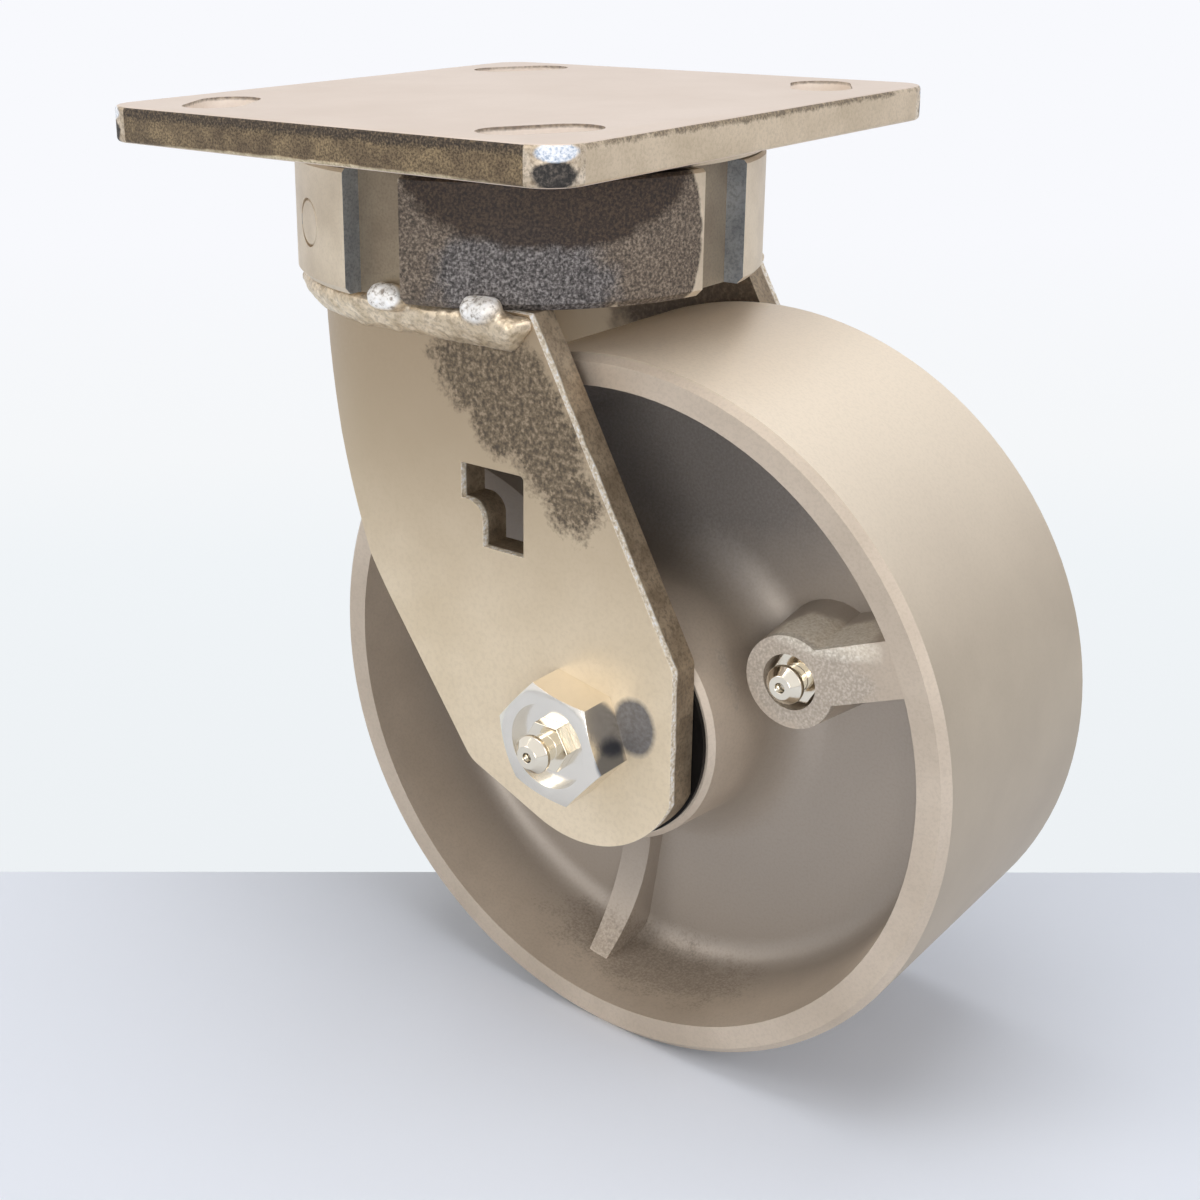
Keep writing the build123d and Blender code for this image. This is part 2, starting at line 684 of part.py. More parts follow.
def grease_fitting(seat, name):
    """A straight grease fitting screwed in at a plane, and the check ball under its mouth."""
    section_plane = Plane(origin=seat.origin, x_dir=seat.x_dir, z_dir=-seat.y_dir)
    mouth_foot = fitting_height - fitting_mouth_depth
    cone_foot = fitting_height - fitting_cone_height
    head_foot = cone_foot - fitting_flare_height * 2
    ball_radius = fitting_ball_diameter / 2
    mouth_radius = fitting_mouth_diameter / 2
    ball_centre = mouth_foot - sqrt(ball_radius**2 - mouth_radius**2) - fitting_ball_gap
    with BuildPart() as fitting:
        with BuildSketch(seat):
            RegularPolygon(fitting_hex / 2, 6, major_radius=False)
        extrude(amount=fitting_hex_height)
        with BuildSketch(section_plane):
            with BuildLine():
                Polyline(
                    (0, -fitting_shank_length),
                    (fitting_shank_diameter / 2, -fitting_shank_length),
                    (fitting_shank_diameter / 2, fitting_hex_height),
                    (fitting_neck_diameter / 2, fitting_hex_height),
                    (fitting_neck_diameter / 2, head_foot),
                    (fitting_head_diameter / 2, head_foot + fitting_flare_height),
                    (fitting_head_diameter / 2, cone_foot),
                    (fitting_tip_diameter / 2, fitting_height),
                    (0, fitting_height),
                    close=True,
                )
            make_face()
        revolve(axis=Axis(seat.origin, seat.z_dir))
        with BuildSketch(seat.offset(-fitting_shank_length)):
            Circle(fitting_bore_diameter / 2)
        extrude(amount=fitting_shank_length + mouth_foot, mode=Mode.SUBTRACT)
        with BuildSketch(seat.offset(mouth_foot)):
            Circle(mouth_radius)
        extrude(amount=fitting_mouth_depth, mode=Mode.SUBTRACT)
    finish(fitting.part, f"{name}_grease_fitting")
    with BuildPart(seat.offset(ball_centre)) as check_ball:
        Sphere(ball_radius)
    finish(check_ball.part, f"{name}_fitting_ball")


grease_fitting(race_fitting_plane, "race")
grease_fitting(near_side.offset(bolt_head_y - bolt_recess_depth), "axle")
grease_fitting(hub_fitting_plane, "hub")
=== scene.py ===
"""Looks of a heavy duty plate castor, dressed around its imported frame.

Lengths in the dataclasses are millimetres, in the frame of the CAD part: the plate's top face is
at z = 0, the swivel axis is Z, +X is the trail, and the axle bolt's head is on the -Y side.
"""

import logging
import math
from dataclasses import dataclass, field, replace
from enum import Enum
from typing import ClassVar

import bmesh
import bpy
from mathutils import Matrix, Vector


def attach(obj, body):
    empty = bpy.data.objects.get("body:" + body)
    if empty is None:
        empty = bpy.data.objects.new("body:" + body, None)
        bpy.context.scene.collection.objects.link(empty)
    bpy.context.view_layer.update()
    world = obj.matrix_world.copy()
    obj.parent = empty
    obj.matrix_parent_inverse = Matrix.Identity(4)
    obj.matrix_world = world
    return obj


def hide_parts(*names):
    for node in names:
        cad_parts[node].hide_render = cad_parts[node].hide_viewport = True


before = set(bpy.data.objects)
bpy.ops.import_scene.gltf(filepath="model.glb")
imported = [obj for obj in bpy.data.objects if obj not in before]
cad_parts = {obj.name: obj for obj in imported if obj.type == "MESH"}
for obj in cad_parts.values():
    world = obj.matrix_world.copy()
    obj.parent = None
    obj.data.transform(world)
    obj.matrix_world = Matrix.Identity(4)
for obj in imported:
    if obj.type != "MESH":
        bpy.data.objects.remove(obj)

LOG = logging.getLogger("castor")
MM = 0.001
WELD_DISTANCE = 0.002 * MM
FLAT_ANGLE = math.radians(0.5)
SHARP_ANGLE = math.radians(28.0)
ROUND_SEGMENTS = 2

# The plate's edges, its rounded corners' middles and the outer face of a leg, in millimetres.
EDGE_X, EDGE_Y = 50.8, 57.15
CORNER_X, CORNER_Y = 48.9, 55.3
LEG_Y = 35.2


class Body(Enum):
    """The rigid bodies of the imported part."""

    PLATE = "plate"
    BALLS = "balls"
    FORK = "fork"
    WHEEL = "wheel"
    ROLLERS = "rollers"


def linear(code: str) -> tuple[float, float, float, float]:
    """Turns an sRGB hex colour into the linear colour that a socket takes.

    Args:
        code: The colour, such as "#c8b8a0".

    Returns:
        Red, green, blue and an alpha of 1.
    """
    channels = [int(code[start : start + 2], 16) / 255 for start in (1, 3, 5)]
    made = [c / 12.92 if c <= 0.04045 else ((c + 0.055) / 1.055) ** 2.4 for c in channels]
    return (made[0], made[1], made[2], 1.0)


def add_node(
    tree: bpy.types.NodeTree,
    kind: str,
    links: dict[object, object] | None = None,
    stops: list[tuple[float, str]] | None = None,
    **settings: object,
) -> bpy.types.Node:
    """Adds a node with its settings, its colour stops and what goes into its sockets.

    Args:
        tree: The material's or the world's node tree.
        kind: The node's type name.
        links: Socket name or number to an output socket, or to a plain value.
        stops: For a colour ramp, the place and the hex colour of each stop.
        **settings: The node's own properties.

    Returns:
        The new node.
    """
    made = tree.nodes.new(kind)
    for name, value in settings.items():
        setattr(made, name, value)
    for socket, value in (links or {}).items():
        if isinstance(value, bpy.types.NodeSocket):
            tree.links.new(value, made.inputs[socket])
        else:
            made.inputs[socket].default_value = value
    if stops:
        elements = made.color_ramp.elements
        while len(elements) < len(stops):
            elements.new(1.0)
        for element, (place, code) in zip(elements, stops):
            element.position = place
            element.color = linear(code)
    return made


def blank_material(name: str) -> tuple[bpy.types.Material, bpy.types.NodeTree]:
    """Makes an empty node material.

    Args:
        name: The material's name.

    Returns:
        The material and its node tree.
    """
    material = bpy.data.materials.new(name)
    material.use_nodes = True
    material.node_tree.nodes.clear()
    return material, material.node_tree


@dataclass(frozen=True)
class Patch:
    """A place where a layer lies thick: scale or slag, painted shade, a painted highlight or a
    painted reflection.

    Attributes:
        centre: Its middle, in millimetres.
        core: How far it is at full strength, in millimetres.
        reach: How far it spreads before it has faded out, in millimetres.
        stretch: How much longer it is along each axis.
    """

    centre: tuple[float, float, float]
    core: float
    reach: float
    stretch: tuple[float, float, float] = (1.0, 1.0, 1.0)


def mirrored(axis: int, *patches: Patch) -> tuple[Patch, ...]:
    """Gives patches with their mirror images, for what both sides of the part have.

    Args:
        axis: The axis along which the images lie opposite: 0 for X, 1 for Y.
        *patches: The patches.

    Returns:
        The patches and their images.
    """
    images = []
    for patch in patches:
        centre = list(patch.centre)
        centre[axis] = -centre[axis]
        images.append(replace(patch, centre=tuple(centre)))
    return (*patches, *images)


def patch_mask(
    tree: bpy.types.NodeTree,
    place: bpy.types.NodeSocket,
    patches: tuple[Patch, ...],
    torn: float,
    ragged: float,
) -> bpy.types.NodeSocket | float:
    """Adds the nodes that say how thick the patches lie.

    The rags have a mean of a half, so both ends of a fade move outwards by half a tear.

    Args:
        tree: The material's node tree.
        place: Object coordinates.
        patches: The patches.
        torn: Size of the rags along their edges, in millimetres.
        ragged: How deep the rags are, as a share of the faded rim.

    Returns:
        A value from 0, clean, to 1, inside a patch, or a plain 0 where there is none.
    """
    strongest = 0.0
    if not patches:
        return strongest
    rags = add_node(
        tree, "ShaderNodeTexNoise", {"Vector": place, "Scale": 1 / (torn * MM), "Detail": 5.0}
    )
    for patch in patches:
        middle = tuple(-c * MM / s for c, s in zip(patch.centre, patch.stretch))
        tear = (patch.reach - patch.core) * MM * ragged
        local = add_node(
            tree,
            "ShaderNodeMapping",
            {"Vector": place, "Location": middle, "Scale": tuple(1 / s for s in patch.stretch)},
        )
        away = add_node(
            tree, "ShaderNodeVectorMath", {0: local.outputs[0]}, operation="LENGTH"
        )
        uneven = add_node(
            tree,
            "ShaderNodeMath",
            {0: rags.outputs["Fac"], 1: tear, 2: away.outputs["Value"]},
            operation="MULTIPLY_ADD",
        )
        faded = add_node(
            tree,
            "ShaderNodeMapRange",
            {
                "Value": uneven.outputs[0],
                "From Min": patch.core * MM + tear / 2,
                "From Max": patch.reach * MM + tear / 2,
                "To Min": 1.0,
                "To Max": 0.0,
            },
            interpolation_type="SMOOTHSTEP",
        )
        joined = add_node(
            tree, "ShaderNodeMath", {0: strongest, 1: faded.outputs[0]}, operation="MAXIMUM"
        )
        strongest = joined.outputs[0]
    return strongest


@dataclass(frozen=True)
class CrustAndPaintedLight:
    """A layer that lies over the plating in patches: scale and slag, and painted shade, highlights
    and reflections.

    Attributes:
        tones: Its dark, middle and light colour, which its grains take.
        patches: Where it lies.
        cover: How far it hides what is under it, from 0 to 1.
        loose: How much its grains break up its edge, from 0 to 1.
        ragged: How deep the rags along its edge are, as a share of the faded rim.
        rag_grains: Size of a rag along its edge, in grains.
        bare_below: Crowding under which nothing of the layer shows.
        full_above: Crowding over which it covers as much as it can.
        tone_stops: Where the grain, from 0 to 1, takes each of the three colours.
    """

    tones: tuple[str, str, str]
    patches: tuple[Patch, ...]
    cover: float = 0.85
    loose: float = 0.9
    ragged: float = 1.0
    rag_grains: ClassVar[int] = 7
    bare_below: ClassVar[float] = 0.2
    full_above: ClassVar[float] = 0.8
    tone_stops: ClassVar[tuple[float, float, float]] = (0.36, 0.5, 0.64)

    def share(
        self,
        tree: bpy.types.NodeTree,
        place: bpy.types.NodeSocket,
        grains: bpy.types.NodeSocket,
        grit: float,
    ) -> bpy.types.NodeSocket:
        """Adds the nodes that say how far the layer hides what is under it.

        Args:
            tree: The material's node tree.
            place: Object coordinates.
            grains: The surface grain, from 0 to 1.
            grit: Size of a grain, in millimetres.

        Returns:
            A value from 0, clean, to the layer's cover.
        """
        crowding = patch_mask(tree, place, self.patches, grit * self.rag_grains, self.ragged)
        loosened = add_node(
            tree,
            "ShaderNodeMath",
            {0: grains, 1: -self.loose, 2: self.loose / 2},
            operation="MULTIPLY_ADD",
        )
        gathered = add_node(
            tree, "ShaderNodeMath", {0: loosened.outputs[0], 1: crowding}, operation="ADD"
        )
        hidden = add_node(
            tree,
            "ShaderNodeMapRange",
            {
                "Value": gathered.outputs[0],
                "From Min": self.bare_below,
                "From Max": self.full_above,
                "To Max": self.cover,
            },
        )
        present = add_node(
            tree, "ShaderNodeMapRange", {"Value": crowding, "From Max": self.bare_below}
        )
        kept = add_node(
            tree,
            "ShaderNodeMath",
            {0: hidden.outputs[0], 1: present.outputs[0]},
            operation="MULTIPLY",
        )
        return kept.outputs[0]


@dataclass(frozen=True)
class PlatedSteel:
    """Zinc plated mild steel with a warm passivated tint, pits, scale, and painted light and
    shade.

    Attributes:
        name: The finish's name.
        bright: Colour of thick plating.
        dull: Colour of plating that took less zinc.
        pit: Colour of the pits.
        drift: Size of the clouds between bright and dull, in millimetres.
        grit: Size of one pit or grain, in millimetres.
        pitting: How strongly the pits show, from 0 to 1.
        pit_share: Share of the surface that they take, from 0 to 1.
        metallic: How far it shines as bare metal.
        roughness: Roughness of clean plating.
        relief: Depth of the surface grain, in millimetres.
        crusts_and_painted_light: The layers that lie over it, scale and painted light and shade,
            from the lowest to the highest.
        painted_light_tint: Colour of painted shade or of a painted highlight, full near the origin
            along one axis and fading into the coat further out, or nothing for an even coat.
        painted_light_axis: The axis along which the painted tone fades out.
        painted_light_span: Distances along that axis, from the origin, where the painted tone is
            full and where the coat has its own colour, in millimetres.
        cloud_ends: Levels of the clouds at which the coat is all dull and all bright.
        pit_level: Grain under which a pit lies, and how far a full share of pits raises that.
        pit_edge: Width of a pit's soft edge, in grain.
        layer_shine: Share of the metal's shine that a layer leaves.
        layer_dulling: Roughness that a layer adds.
        smear: Roughness that the highest grain adds.
        layer_relief: How many times deeper the grain gets under a layer.
    """

    name: str
    bright: str
    dull: str
    pit: str = "#8d7c69"
    drift: float = 18.0
    grit: float = 0.9
    pitting: float = 0.3
    pit_share: float = 0.3
    metallic: float = 0.6
    roughness: float = 0.36
    relief: float = 0.03
    crusts_and_painted_light: tuple[CrustAndPaintedLight, ...] = ()
    painted_light_tint: str = ""
    painted_light_axis: str = "Y"
    painted_light_span: tuple[float, float] = (6.0, 22.0)
    cloud_ends: ClassVar[tuple[float, float]] = (0.35, 0.65)
    pit_level: ClassVar[float] = 0.3
    pit_edge: ClassVar[float] = 0.15
    layer_shine: ClassVar[float] = 0.5
    layer_dulling: ClassVar[float] = 0.22
    smear: ClassVar[float] = 0.12
    layer_relief: ClassVar[float] = 2.5

    def plating(
        self, tree: bpy.types.NodeTree, place: bpy.types.NodeSocket
    ) -> bpy.types.NodeSocket:
        """Adds the clean coat: clouds of brighter and duller zinc, and painted shade or a painted
        highlight graded along one axis where set.

        Args:
            tree: The material's node tree.
            place: Object coordinates.

        Returns:
            Its colour.
        """
        clouds = add_node(
            tree,
            "ShaderNodeTexNoise",
            {"Vector": place, "Scale": 1 / (self.drift * MM), "Detail": 4.0, "Roughness": 0.6},
        )
        share = add_node(
            tree,
            "ShaderNodeMapRange",
            {
                "Value": clouds.outputs["Fac"],
                "From Min": self.cloud_ends[0],
                "From Max": self.cloud_ends[1],
            },
        )
        coat = add_node(
            tree,
            "ShaderNodeMix",
            {"Factor": share.outputs[0], "A": linear(self.dull), "B": linear(self.bright)},
            data_type="RGBA",
        ).outputs[2]
        # Painted shade or a painted highlight, graded along one axis.
        if self.painted_light_tint:
            split = add_node(tree, "ShaderNodeSeparateXYZ", {0: place})
            depth = add_node(
                tree, "ShaderNodeMath", {0: split.outputs[self.painted_light_axis]}, operation="ABSOLUTE"
            )
            painted_light_fade = add_node(
                tree,
                "ShaderNodeMapRange",
                {
                    "Value": depth.outputs[0],
                    "From Min": self.painted_light_span[0] * MM,
                    "From Max": self.painted_light_span[1] * MM,
                },
                interpolation_type="SMOOTHSTEP",
            )
            coat = add_node(
                tree,
                "ShaderNodeMix",
                {"Factor": painted_light_fade.outputs[0], "A": linear(self.painted_light_tint), "B": coat},
                data_type="RGBA",
            ).outputs[2]
        return coat

    def build(self) -> bpy.types.Material:
        """Makes the material.

        Returns:
            The node material.
        """
        material, tree = blank_material(self.name)
        place = add_node(tree, "ShaderNodeTexCoord").outputs["Object"]
        coat = self.plating(tree, place)
        grains = add_node(
            tree,
            "ShaderNodeTexNoise",
            {"Vector": place, "Scale": 1 / (self.grit * MM), "Detail": 5.0, "Roughness": 0.65},
        )
        pit_floor = self.pit_level * (1 + self.pit_share)
        pits = add_node(
            tree,
            "ShaderNodeMapRange",
            {
                "Value": grains.outputs["Fac"],
                "From Min": pit_floor,
                "From Max": pit_floor + self.pit_edge,
                "To Min": self.pitting,
                "To Max": 0.0,
            },
        )
        pitted = add_node(
            tree,
            "ShaderNodeMix",
            {"Factor": pits.outputs[0], "A": coat, "B": linear(self.pit)},
            data_type="RGBA",
        )
        colour, covered = pitted.outputs[2], 0.0
        for layer in self.crusts_and_painted_light:
            share = layer.share(tree, place, grains.outputs["Fac"], self.grit)
            tones = add_node(
                tree,
                "ShaderNodeValToRGB",
                {"Fac": grains.outputs["Fac"]},
                stops=list(zip(layer.tone_stops, layer.tones)),
            )
            colour = add_node(
                tree,
                "ShaderNodeMix",
                {"Factor": share, "A": colour, "B": tones.outputs[0]},
                data_type="RGBA",
            ).outputs[2]
            covered = add_node(
                tree, "ShaderNodeMath", {0: covered, 1: share}, operation="MAXIMUM"
            ).outputs[0]
        shine = add_node(
            tree,
            "ShaderNodeMapRange",
            {
                "Value": covered,
                "To Min": self.metallic,
                "To Max": self.metallic * self.layer_shine,
            },
        )
        dullness = add_node(
            tree,
            "ShaderNodeMapRange",
            {
                "Value": covered,
                "To Min": self.roughness,
                "To Max": self.roughness + self.layer_dulling,
            },
        )
        smears = add_node(
            tree,
            "ShaderNodeMath",
            {0: grains.outputs["Fac"], 1: self.smear, 2: dullness.outputs[0]},
            operation="MULTIPLY_ADD",
        )
        height = add_node(
            tree,
            "ShaderNodeMath",
            {0: covered, 1: self.layer_relief, 2: 1.0},
            operation="MULTIPLY_ADD",
        )
        raised = add_node(
            tree,
            "ShaderNodeMath",
            {0: grains.outputs["Fac"], 1: height.outputs[0]},
            operation="MULTIPLY",
        )
        bump = add_node(
            tree,
            "ShaderNodeBump",
            {"Height": raised.outputs[0], "Distance": self.relief * MM, "Strength": 1.0},
        )
        shader = add_node(
            tree,
            "ShaderNodeBsdfPrincipled",
            {
                "Base Color": colour,
                "Metallic": shine.outputs[0],
                "Roughness": smears.outputs[0],
                "Normal": bump.outputs[0],
            },
        )
        add_node(tree, "ShaderNodeOutputMaterial", {"Surface": shader.outputs[0]})
        return material


@dataclass(frozen=True)
class BrightSteel:
    """Turned or forged steel with a bright coat, a clear mirror, faint marks, and patches of
    painted reflection.

    Attributes:
        name: The finish's name.
        colour: The metal's colour.
        roughness: How dull the polish is.
        relief: Depth of the marks, in millimetres.
        pitch: Size of the marks, in millimetres.
        film: Colour of the oil or soot that lies on it, which the patches also take as a painted
            reflection.
        film_share: How much of it lies all over, from 0 to 1.
        patches: Where the film's colour lies thick, as a painted reflection.
    """

    name: str
    colour: str
    roughness: float
    relief: float = 0.01
    pitch: float = 2.0
    film: str = "#8d8578"
    film_share: float = 0.1
    patches: tuple[Patch, ...] = ()

    def build(self) -> bpy.types.Material:
        """Makes the material.

        Returns:
            The node material.
        """
        material, tree = blank_material(self.name)
        place = add_node(tree, "ShaderNodeTexCoord").outputs["Object"]
        marks = add_node(
            tree,
            "ShaderNodeTexNoise",
            {"Vector": place, "Scale": 1 / (self.pitch * MM), "Detail": 3.0},
        )
        thick = patch_mask(tree, place, self.patches, torn=self.pitch, ragged=1.0)
        film = add_node(
            tree,
            "ShaderNodeMath",
            {0: marks.outputs["Fac"], 1: self.film_share, 2: thick},
            operation="MULTIPLY_ADD",
            use_clamp=True,
        )
        colour = add_node(
            tree,
            "ShaderNodeMix",
            {"Factor": film.outputs[0], "A": linear(self.colour), "B": linear(self.film)},
            data_type="RGBA",
        )
        bump = add_node(
            tree,
            "ShaderNodeBump",
            {"Height": marks.outputs["Fac"], "Distance": self.relief * MM},
        )
        shader = add_node(
            tree,
            "ShaderNodeBsdfPrincipled",
            {
                "Base Color": colour.outputs[2],
                "Metallic": 1.0,
                "Roughness": self.roughness,
                "Normal": bump.outputs[0],
            },
        )
        add_node(tree, "ShaderNodeOutputMaterial", {"Surface": shader.outputs[0]})
        return material


Finish = PlatedSteel | BrightSteel

# Hot rolled plate, flattened and zinc plated: a pale, nearly even satin with slow clouds.
PLATE_TOP_STEEL = PlatedSteel(
    "rolled_plate_zinc", "#dfcfc1", "#d8c7b8", pit="#c6b4a3", drift=30, pitting=0.1,
    metallic=0.3, roughness=0.42, relief=0.006,
)
# The walls of the slots were punched: paler than the face and duller, painted light against the
# shade that falls in them, with a painted brown line of shade at the mouth.
SLOT_STEEL = PlatedSteel(
    "slot_wall_painted_light", "#fdf0e2", "#f6e6d6", pit="#d8c6b4", drift=8, pitting=0.1,
    metallic=0.1, roughness=0.5, relief=0.01,
    crusts_and_painted_light=(
        # A brown line just under the mouth of each slot: painted shade.
        CrustAndPaintedLight(
            ("#54473a", "#7c6a56", "#a08d73"),
            (Patch((0.0, 0.0, -0.1), 0.35, 1.0, (100.0, 100.0, 1.0)),),
            cover=0.85, loose=0.5, ragged=0.4,
        ),
    ),
)
# Two edges of the plate were sheared: a torn dark grain with glints of zinc on its peaks, and a
# pale painted highlight along the foot of each.
SHEARED_EDGE_STEEL = PlatedSteel(
    "sheared_edge_zinc", "#a18c6b", "#75644e", pit="#40342a", drift=4, grit=0.4, pitting=0.7,
    pit_share=0.4, metallic=0.7, roughness=0.34, relief=0.1,
    crusts_and_painted_light=(
        CrustAndPaintedLight(
            ("#211a14", "#42372c", "#75644f"),
            mirrored(1, Patch((0.0, -EDGE_Y, -0.4), 0.5, 2.4, (60.0, 1.0, 1.0))),
            cover=0.9, loose=1.0,
        ),
        # A pale line along the foot of each sheared edge: a painted highlight.
        CrustAndPaintedLight(
            ("#b9a888", "#d6c6a6", "#efe2c6"),
            mirrored(1, Patch((0.0, -EDGE_Y, -6.3), 0.2, 1.0, (60.0, 1.0, 1.0))),
            cover=0.8, loose=0.6,
        ),
    ),
)
# The other two were sawn: smoother and paler, with a fine grain.
SAWN_EDGE_STEEL = PlatedSteel(
    "sawn_edge_zinc", "#d3c1a8", "#c3b197", pit="#93826b", drift=9, grit=0.5, pitting=0.25,
    metallic=0.55, roughness=0.36, relief=0.02,
    crusts_and_painted_light=(
        CrustAndPaintedLight(
            ("#31271d", "#66563f", "#9c8a6c"),
            mirrored(0, Patch((EDGE_X, 0.0, -0.3), 0.1, 1.5, (1.0, 60.0, 1.0))),
            cover=0.75, loose=1.2,
        ),
    ),
)
# The plate's corners are rounded, and carry a painted reflection: bright above, black below.
CORNER_STEEL = PlatedSteel(
    "corner_painted_reflection", "#e6d7c2", "#b9a68c", pit="#5d4d3c", drift=4, grit=0.6, pitting=0.5,
    metallic=0.5, roughness=0.35, relief=0.08,
    crusts_and_painted_light=(
        # Black on the lower part of each corner: a painted dark reflection.
        CrustAndPaintedLight(
            ("#0b0a0a", "#232120", "#5c534b"),
            mirrored(
                0, *mirrored(1, Patch((-CORNER_X, -CORNER_Y, -4.4), 1.5, 2.6, (1.7, 1.7, 1.0)))
            ),
            cover=0.97, loose=0.5,
        ),
        # A bright glint on the upper part of each corner: a painted reflection.
        CrustAndPaintedLight(
            ("#9fb0c4", "#e9edf3", "#ffffff"),
            mirrored(
                0, *mirrored(1, Patch((-CORNER_X, -CORNER_Y, -1.2), 0.9, 1.7, (2.6, 2.6, 1.0)))
            ),
            cover=0.95, loose=0.5,
        ),
    ),
)
# Forged ring, turned on top and foot: satin beige, and rough, brown and grey in front, partly
# scale that was left and partly a painted dark reflection, and darkest under the plate, where the
# plate corner's shadow is painted.
RING_STEEL = PlatedSteel(
    "forged_ring_zinc", "#d8c9b2", "#c3b39c", pit="#8c7b69", drift=14, grit=0.5, pitting=0.12,
    metallic=0.5, roughness=0.36, relief=0.03,
    crusts_and_painted_light=(
        # Brown grain in front, between the notches: partly scale, partly a painted dark
        # reflection.
        CrustAndPaintedLight(
            ("#1b140e", "#594c40", "#8d7f6f"),
            (
                Patch((14.6, -40.2, -20.0), 9.6, 11.5, (1.0, 1.0, 1.7)),
                Patch((29.7, -30.8, -20.0), 11.5, 14.0, (1.0, 1.0, 1.5)),
                Patch((39.7, -16.0, -20.0), 8.8, 10.0, (1.0, 1.0, 1.7)),
            ),
            cover=0.95, loose=0.5,
        ),
        # A grey cloud low in front: partly scale, partly a painted dark reflection.
        CrustAndPaintedLight(
            ("#171514", "#555150", "#908c8a"),
            (Patch((25.8, -34.2, -26.5), 7.0, 13.0, (1.5, 1.5, 1.0)),),
            cover=0.85, loose=0.6,
        ),
        # The V shaped shadow of the plate's front corner: painted shadow.
        CrustAndPaintedLight(
            ("#170f09", "#302217", "#473626"),
            (Patch((29.2, -31.3, -8.5), 10.5, 14.0, (2.0, 2.0, 1.0)),),
            cover=0.93, loose=0.4,
        ),
    ),
)
# The floors of the notches: a brown coat, darker than the ring, with a fine grain.
NOTCH_FLOOR_STEEL = PlatedSteel(
    "notch_floor_zinc", "#95866f", "#857560", pit="#5f5344", drift=8, grit=0.5, pitting=0.25,
    metallic=0.5, roughness=0.36, relief=0.03,
)
# The walls of the notches were broached after plating: bare steel, with a painted blue grey
# reflection of the floor, made pale against the shade in the notches.
NOTCH_STEEL = PlatedSteel(
    "notch_wall_painted_reflection", "#b5bdc6", "#969ea8", pit="#626970", drift=6, grit=0.5, pitting=0.4,
    metallic=0.8, roughness=0.32, relief=0.03,
)
# Bent hot rolled strip, zinc plated: a warm satin, with painted shade that darkens it towards the
# weld at the top, a crust of scale under it, painted shade on the far leg's inner face under the
# ring, and a cloud of painted blue grey shade beside the bolt's head.
LEG_STEEL = PlatedSteel(
    "leg_plate_zinc", "#e9d8bc", "#dbc9ab", pit="#b09c81", drift=26, grit=0.9, pitting=0.14,
    metallic=0.5, roughness=0.36, relief=0.02,
    crusts_and_painted_light=(
        CrustAndPaintedLight(
            ("#2e251d", "#61533f", "#95846e"),
            (
                Patch((18.0, -LEG_Y, -41.5), 7.0, 14.0, (1.1, 1.0, 0.7)),
                Patch((25.0, -LEG_Y, -46.5), 7.0, 12.5),
                Patch((31.5, -LEG_Y, -54.0), 4.0, 11.0),
                Patch((37.0, -LEG_Y, -61.0), 2.0, 9.5),
            ),
            cover=0.9, loose=1.2, ragged=1.3,
        ),
        # Dark brown on the far leg's inner face, under the ring: painted shade.
        CrustAndPaintedLight(
            ("#2b231b", "#46392d", "#6a5a49"),
            (Patch((20.0, 28.9, -36.0), 10.0, 22.0, (1.6, 0.4, 0.9)),),
            cover=0.85, loose=0.2,
        ),
        # A blue grey cloud on the leg beside the bolt's head: painted shade.
        CrustAndPaintedLight(
            ("#3f4148", "#4d4f57", "#5f6269"),
            (Patch((50.2, -LEG_Y, -97.4), 3.2, 6.0, (0.9, 1.0, 1.1)),),
            cover=0.85, loose=0.15, ragged=0.5,
        ),
    ),
    # Darker towards the top, paler towards the bottom: a painted gradient of light and shade.
    painted_light_tint="#a7947a", painted_light_axis="Z", painted_light_span=(36.0, 104.0),
)
# Flame cut edges: brown and grainy, with a painted highlight along the outer corner.
CUT_EDGE_STEEL = PlatedSteel(
    "flame_cut_zinc", "#a8967d", "#86755f", pit="#54483b", drift=5, grit=0.7, pitting=0.45,
    pit_share=0.3, metallic=0.6, roughness=0.4, relief=0.07,
    crusts_and_painted_light=(
        # A pale line along the outer corner of the legs' cut edges: a painted highlight.
        CrustAndPaintedLight(
            ("#c9b99f", "#efe4d0", "#ffffff"),
            mirrored(1, Patch((20.0, -LEG_Y, -75.0), 0.9, 1.9, (200.0, 1.0, 200.0))),
            cover=0.9, loose=0.5,
        ),
    ),
)
# Welded with a stick and plated over: lumpy and pale, with brown slag in its hollows and a nearly
# white painted highlight on the tacks.
WELD_STEEL = PlatedSteel(
    "weld_bead_zinc", "#ead9bf", "#cab799", pit="#86745e", drift=3, grit=0.9, pitting=0.5,
    pit_share=0.3, metallic=0.6, roughness=0.28, relief=0.1,
    crusts_and_painted_light=(
        # Nearly white glare on the tacks: a painted highlight.
        CrustAndPaintedLight(
            ("#9a9188", "#f7f5f1", "#ffffff"),
            mirrored(
                1,
                Patch((1.5, -43.0, -29.6), 2.2, 3.8, (1.5, 1.2, 1.0)),
                Patch((20.5, -38.8, -29.6), 2.2, 3.8, (1.3, 1.2, 1.0)),
            ),
            cover=0.9, loose=0.6,
        ),
    ),
)
